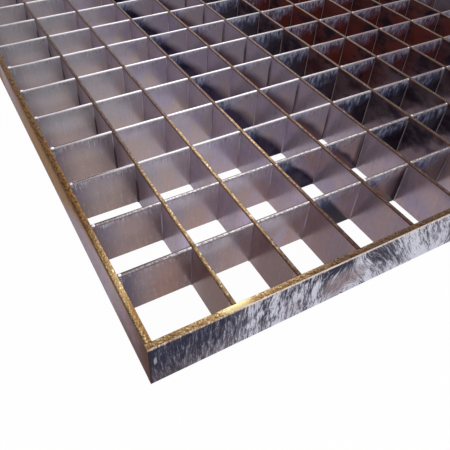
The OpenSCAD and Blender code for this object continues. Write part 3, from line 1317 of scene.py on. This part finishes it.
def corner_tree():
    """Upright slips of zinc, one in the same corner of every crossing of a grid."""
    t, given = new_tree("corner_slips", {
        "Reach": "Float", "Low": "Float", "High": "Float", "Inset X": "Float", "Inset Y": "Float",
        "Turn": "Float", "First": "Vector", "Step": "Float", "Count X": "Int", "Count Y": "Int",
        "Finish": "Material"}, "Slips")
    turn = t.add("ShaderNodeCombineXYZ", None, {"Z": given["Turn"]})
    copies = t.add("GeometryNodeInstanceOnPoints", None, {
        "Points": crossings(t, given), "Instance": upright_slip(t, given), "Rotation": turn})
    solid = t.add("GeometryNodeRealizeInstances", None, {"Geometry": copies})
    painted = t.add("GeometryNodeSetMaterial", None,
                    {"Geometry": solid, "Material": given["Finish"]})
    t.add("NodeGroupOutput", None, {"Slips": painted})
    return t.tree


CORNERS = corner_tree()
print("tree:", CORNERS.name, "with", len(CORNERS.nodes), "nodes")

# %% Set out the slips
CORNER_REACH = (0.5, 0.6, 0.42, 0.45)
HALF_BAR = bearing["thick"] / 2
SLIP_LOW = 1.5 * MM
SLIP_HIGH = cross_top - 0.6 * MM


def corner_slips(name, quarter, reach, first, insets, counts):
    """One row or grid of slips. quarter says which way they turn: 0 fills behind and to the right."""
    along, across = insets if quarter % 2 == 0 else insets[::-1]
    piece = made_by(CORNERS, name, {
        "Reach": reach * MM, "Low": SLIP_LOW, "High": SLIP_HIGH, "Inset X": along, "Inset Y": across,
        "Turn": quarter * math.pi / 2, "First": (first[0], first[1], 0.0), "Step": bearing["pitch"],
        "Count X": counts[0], "Count Y": counts[1], "Finish": pooled_zinc})
    dress(piece, ["bar_grid"])


for quarter, reach in enumerate(CORNER_REACH):
    corner_slips(f"corner_zinc_{quarter}", quarter, reach, (bearing["first"], cross["first"]),
                   (HALF_BAR, HALF_BAR), (bearing["count"], cross["count"]))

# %% Slips along the banding
SIDE_REACH = 1.5
END_REACH = 0.7
for side, place, quarters in (("left", cad_low.x + BAND, (0, 3)), ("right", cad_high.x - BAND, (1, 2))):
    for quarter in quarters:
        corner_slips(f"{side}_side_zinc_{quarter}", quarter, SIDE_REACH,
                       (place, cross["first"]), (0.0, HALF_BAR), (1, cross["count"]))
for side, place, quarters in (("front", cad_low.y + BAND, (0, 1)), ("back", cad_high.y - BAND, (2, 3))):
    for quarter in quarters:
        corner_slips(f"{side}_side_zinc_{quarter}", quarter, END_REACH,
                       (bearing["first"], place), (HALF_BAR, 0.0), (bearing["count"], 1))

# %% [markdown]
# ## Drops of zinc on the crowns
#
# Where a cross bar's crown meets a bearing bar or the banding, a drop of zinc often stays and shines
# white. A drop is a flattened ball of few faces. A random value with a fixed seed chooses which
# crossings have one and how large it is, so that every run gives the same panel.

# %% The tree for the drops
DROP_SEGMENTS = 8
DROP_RINGS = 5
SMALLEST_DROP = 0.55


def drop_tree():
    """A flattened drop of zinc on the crown of a cross bar, at a chosen share of the points.

    A Random Value node has sockets for every type of value. 2 and 3 are the limits of a plain number,
    which comes out at 1, and a yes or no comes out at 3.
    """
    t, given = new_tree("zinc_drops", {
        "Width": "Float", "Height": "Float", "Share": "Float", "Seed": "Int", "First": "Vector",
        "Step": "Float", "Count X": "Int", "Count Y": "Int", "Finish": "Material"}, "Drops")
    ball = t.add("GeometryNodeMeshUVSphere", None,
                 {"Segments": DROP_SEGMENTS, "Rings": DROP_RINGS, "Radius": 0.5})
    size = t.add("ShaderNodeCombineXYZ", None,
                 {"X": given["Width"], "Y": given["Width"], "Z": given["Height"]})
    flattened = t.add("GeometryNodeTransform", None, {"Geometry": ball.outputs["Mesh"], "Scale": size})
    soft = t.add("GeometryNodeSetShadeSmooth", None, {"Geometry": flattened})
    chosen = t.add("FunctionNodeRandomValue", {"data_type": "BOOLEAN"},
                   {"Probability": given["Share"], "Seed": given["Seed"]})
    swell = t.add("FunctionNodeRandomValue", {"data_type": "FLOAT"},
                  {2: SMALLEST_DROP, 3: 1.0, "Seed": given["Seed"]})
    copies = t.add("GeometryNodeInstanceOnPoints", None, {
        "Points": crossings(t, given), "Instance": soft, "Selection": chosen.outputs[3],
        "Scale": swell.outputs[1]})
    solid = t.add("GeometryNodeRealizeInstances", None, {"Geometry": copies})
    painted = t.add("GeometryNodeSetMaterial", None, {"Geometry": solid, "Material": given["Finish"]})
    t.add("NodeGroupOutput", None, {"Drops": painted})
    return t.tree


DROPS = drop_tree()
print("tree:", DROPS.name, "with", len(DROPS.nodes), "nodes")

# %% Set out the drops
DROP_HEIGHT = 1.0 * MM
DROP_LEVEL = cross_top - 0.25 * MM
DROP_FORWARD = 0.2 * MM
BESIDE_BAR = HALF_BAR + 0.6 * MM
BESIDE_BAND = BAND + 0.9 * MM
# A name, where the column starts, how many columns, which share of crossings, and a width in mm.
for name, start, count, share, width in (
        ("left_of_bars", bearing["first"] - BESIDE_BAR, bearing["count"], 0.3, 1.5),
        ("right_of_bars", bearing["first"] + BESIDE_BAR, bearing["count"], 0.8, 1.8),
        ("beside_left_band", cad_low.x + BESIDE_BAND, 1, 1.0, 2.4),
        ("beside_right_band", cad_high.x - BESIDE_BAND, 1, 1.0, 2.2)):
    piece = made_by(DROPS, "zinc_drops_" + name, {
        "Width": width * MM, "Height": DROP_HEIGHT, "Share": share, "Seed": len(name),
        "First": (start, cross["first"] - DROP_FORWARD, DROP_LEVEL), "Step": bearing["pitch"],
        "Count X": count, "Count Y": cross["count"], "Finish": bright_zinc})
    dress(piece, ["bar_grid"])

# %% [markdown]
# ## A white floor that lights nothing too much
#
# The panel lies on a plain white floor. A white floor in plain light renders grey, and more light
# would bleach the panel. So the floor shows its own white only to what the camera sees, straight or
# in a mirror, and stays an ordinary matt floor for the light that falls on the panel. A small share
# of the matt floor is kept in view as well, and carries the panel's soft shadow.

# %% What counts as seen


def seen_by_eye(t):
    """1 for what the camera sees, straight, mirrored or through glass, and 0 for falling light."""
    path = t.add("ShaderNodeLightPath").outputs
    seen = Maths(t, path["Is Camera Ray"]).at_least(Maths(t, path["Is Glossy Ray"]))
    return seen.at_least(Maths(t, path["Is Transmission Ray"]))


# %% The floor
FLOOR_HALF = 3.0
FLOOR_LEVEL = -0.2 * MM
WHITE_SHARE = 0.97
WHITE = (1, 1, 1, 1)
MATT_WHITE = (0.8, 0.8, 0.8, 1)


def floor_finish():
    """Matt for the light that falls, and white for the eye, in the share that is named above."""
    f = Finish("pale_floor")
    matt = f.add("ShaderNodeBsdfDiffuse", None, {"Color": MATT_WHITE})
    white = f.add("ShaderNodeEmission", None, {"Color": WHITE, "Strength": 1.0})
    surface = f.add("ShaderNodeMixShader", None, {0: seen_by_eye(f) * WHITE_SHARE, 1: matt, 2: white})
    f.add("ShaderNodeOutputMaterial", None, {"Surface": surface})
    return f.material


floor_mesh = bpy.data.meshes.new("floor")
around = ((-1, -1), (1, -1), (1, 1), (-1, 1))
floor_corners = [(a * FLOOR_HALF, b * FLOOR_HALF, FLOOR_LEVEL) for a, b in around]
floor_mesh.from_pydata(floor_corners, [], [(0, 1, 2, 3)])
floor_mesh.materials.append(floor_finish())
floor = bpy.data.objects.new("floor", floor_mesh)
bpy.context.scene.collection.objects.link(floor)
print("floor:", 2 * FLOOR_HALF, "metres wide")

# %% [markdown]
# ## Light
#
# An even sky does most of the work, at half the strength of white, so that colours come out about as
# they are typed. The same trick as on the floor keeps the sky white to the eye. Two softboxes, one
# behind the panel and one in front of it, add the gleam along the crowns and a direction to the
# shade inside the cells.

# %% The sky
SKY_STRENGTH = 0.5
world = bpy.data.worlds.new("studio")
bpy.context.scene.world = world
world.use_nodes = True
sky = Tree(world.node_tree)
sky.tree.nodes.clear()
falling = sky.add("ShaderNodeBackground", None, {"Color": WHITE, "Strength": SKY_STRENGTH})
seen_white = sky.add("ShaderNodeBackground", None, {"Color": WHITE, "Strength": 1.0})
sky.add("ShaderNodeOutputWorld", None, {
    "Surface": sky.add("ShaderNodeMixShader", None, {0: seen_by_eye(sky), 1: falling, 2: seen_white})})

# %% Two softboxes
LIT_SPOT = Vector((0, -0.2, 0))


def softbox(name, azimuth, elevation, distance, width, watts):
    """A square lamp that faces the lit spot. Azimuth 0 is in front of the panel, and 90 to its right."""
    lamp = bpy.data.lights.new(name, "AREA")
    lamp.size = width
    lamp.energy = watts
    holder = bpy.data.objects.new(name, lamp)
    a, e = math.radians(azimuth), math.radians(elevation)
    away = Vector((math.sin(a) * math.cos(e), -math.cos(a) * math.cos(e), math.sin(e)))
    holder.location = LIT_SPOT + away * distance
    holder.rotation_euler = away.to_track_quat("Z", "Y").to_euler()
    bpy.context.scene.collection.objects.link(holder)
    print(name, "at", [round(v, 2) for v in holder.location], "with", watts, "watts")


softbox("back_softbox", azimuth=150, elevation=40, distance=1.6, width=0.9, watts=9)
softbox("front_softbox", azimuth=-30, elevation=55, distance=1.4, width=0.7, watts=7)

# %% [markdown]
# ## Camera
#
# The camera looks down over the near left corner from close by, so that the corner is large and the
# rows of cells run off the picture. Its place and three angles are given as they would be read off a
# tripod head: first the turn about the upright, then the tilt, then the slight roll.

# %% The camera
CAMERA_PLACE = (-0.2724, -0.4774, 0.1773)
CAMERA_AZIMUTH = math.radians(-28.93)
CAMERA_ELEVATION = math.radians(46.26)
CAMERA_ROLL = math.radians(1.33)
SENSOR_WIDTH = 36.0
FOCAL_LENGTH = 39.44
SIDE_SHIFT = 0.063
lens = bpy.data.cameras.new("camera")
lens.sensor_width = SENSOR_WIDTH
lens.lens = FOCAL_LENGTH
lens.shift_x = SIDE_SHIFT
lens.clip_start = 0.01
camera = bpy.data.objects.new("camera", lens)
camera.matrix_world = (Matrix.Translation(CAMERA_PLACE)
                       @ Matrix.Rotation(CAMERA_AZIMUTH, 4, "Z")
                       @ Matrix.Rotation(math.pi / 2 - CAMERA_ELEVATION, 4, "X")
                       @ Matrix.Rotation(CAMERA_ROLL, 4, "Z"))
bpy.context.scene.collection.objects.link(camera)
bpy.context.scene.camera = camera
bpy.context.scene.view_settings.view_transform = "Standard"
print("camera:", FOCAL_LENGTH, "mm lens at", CAMERA_PLACE)
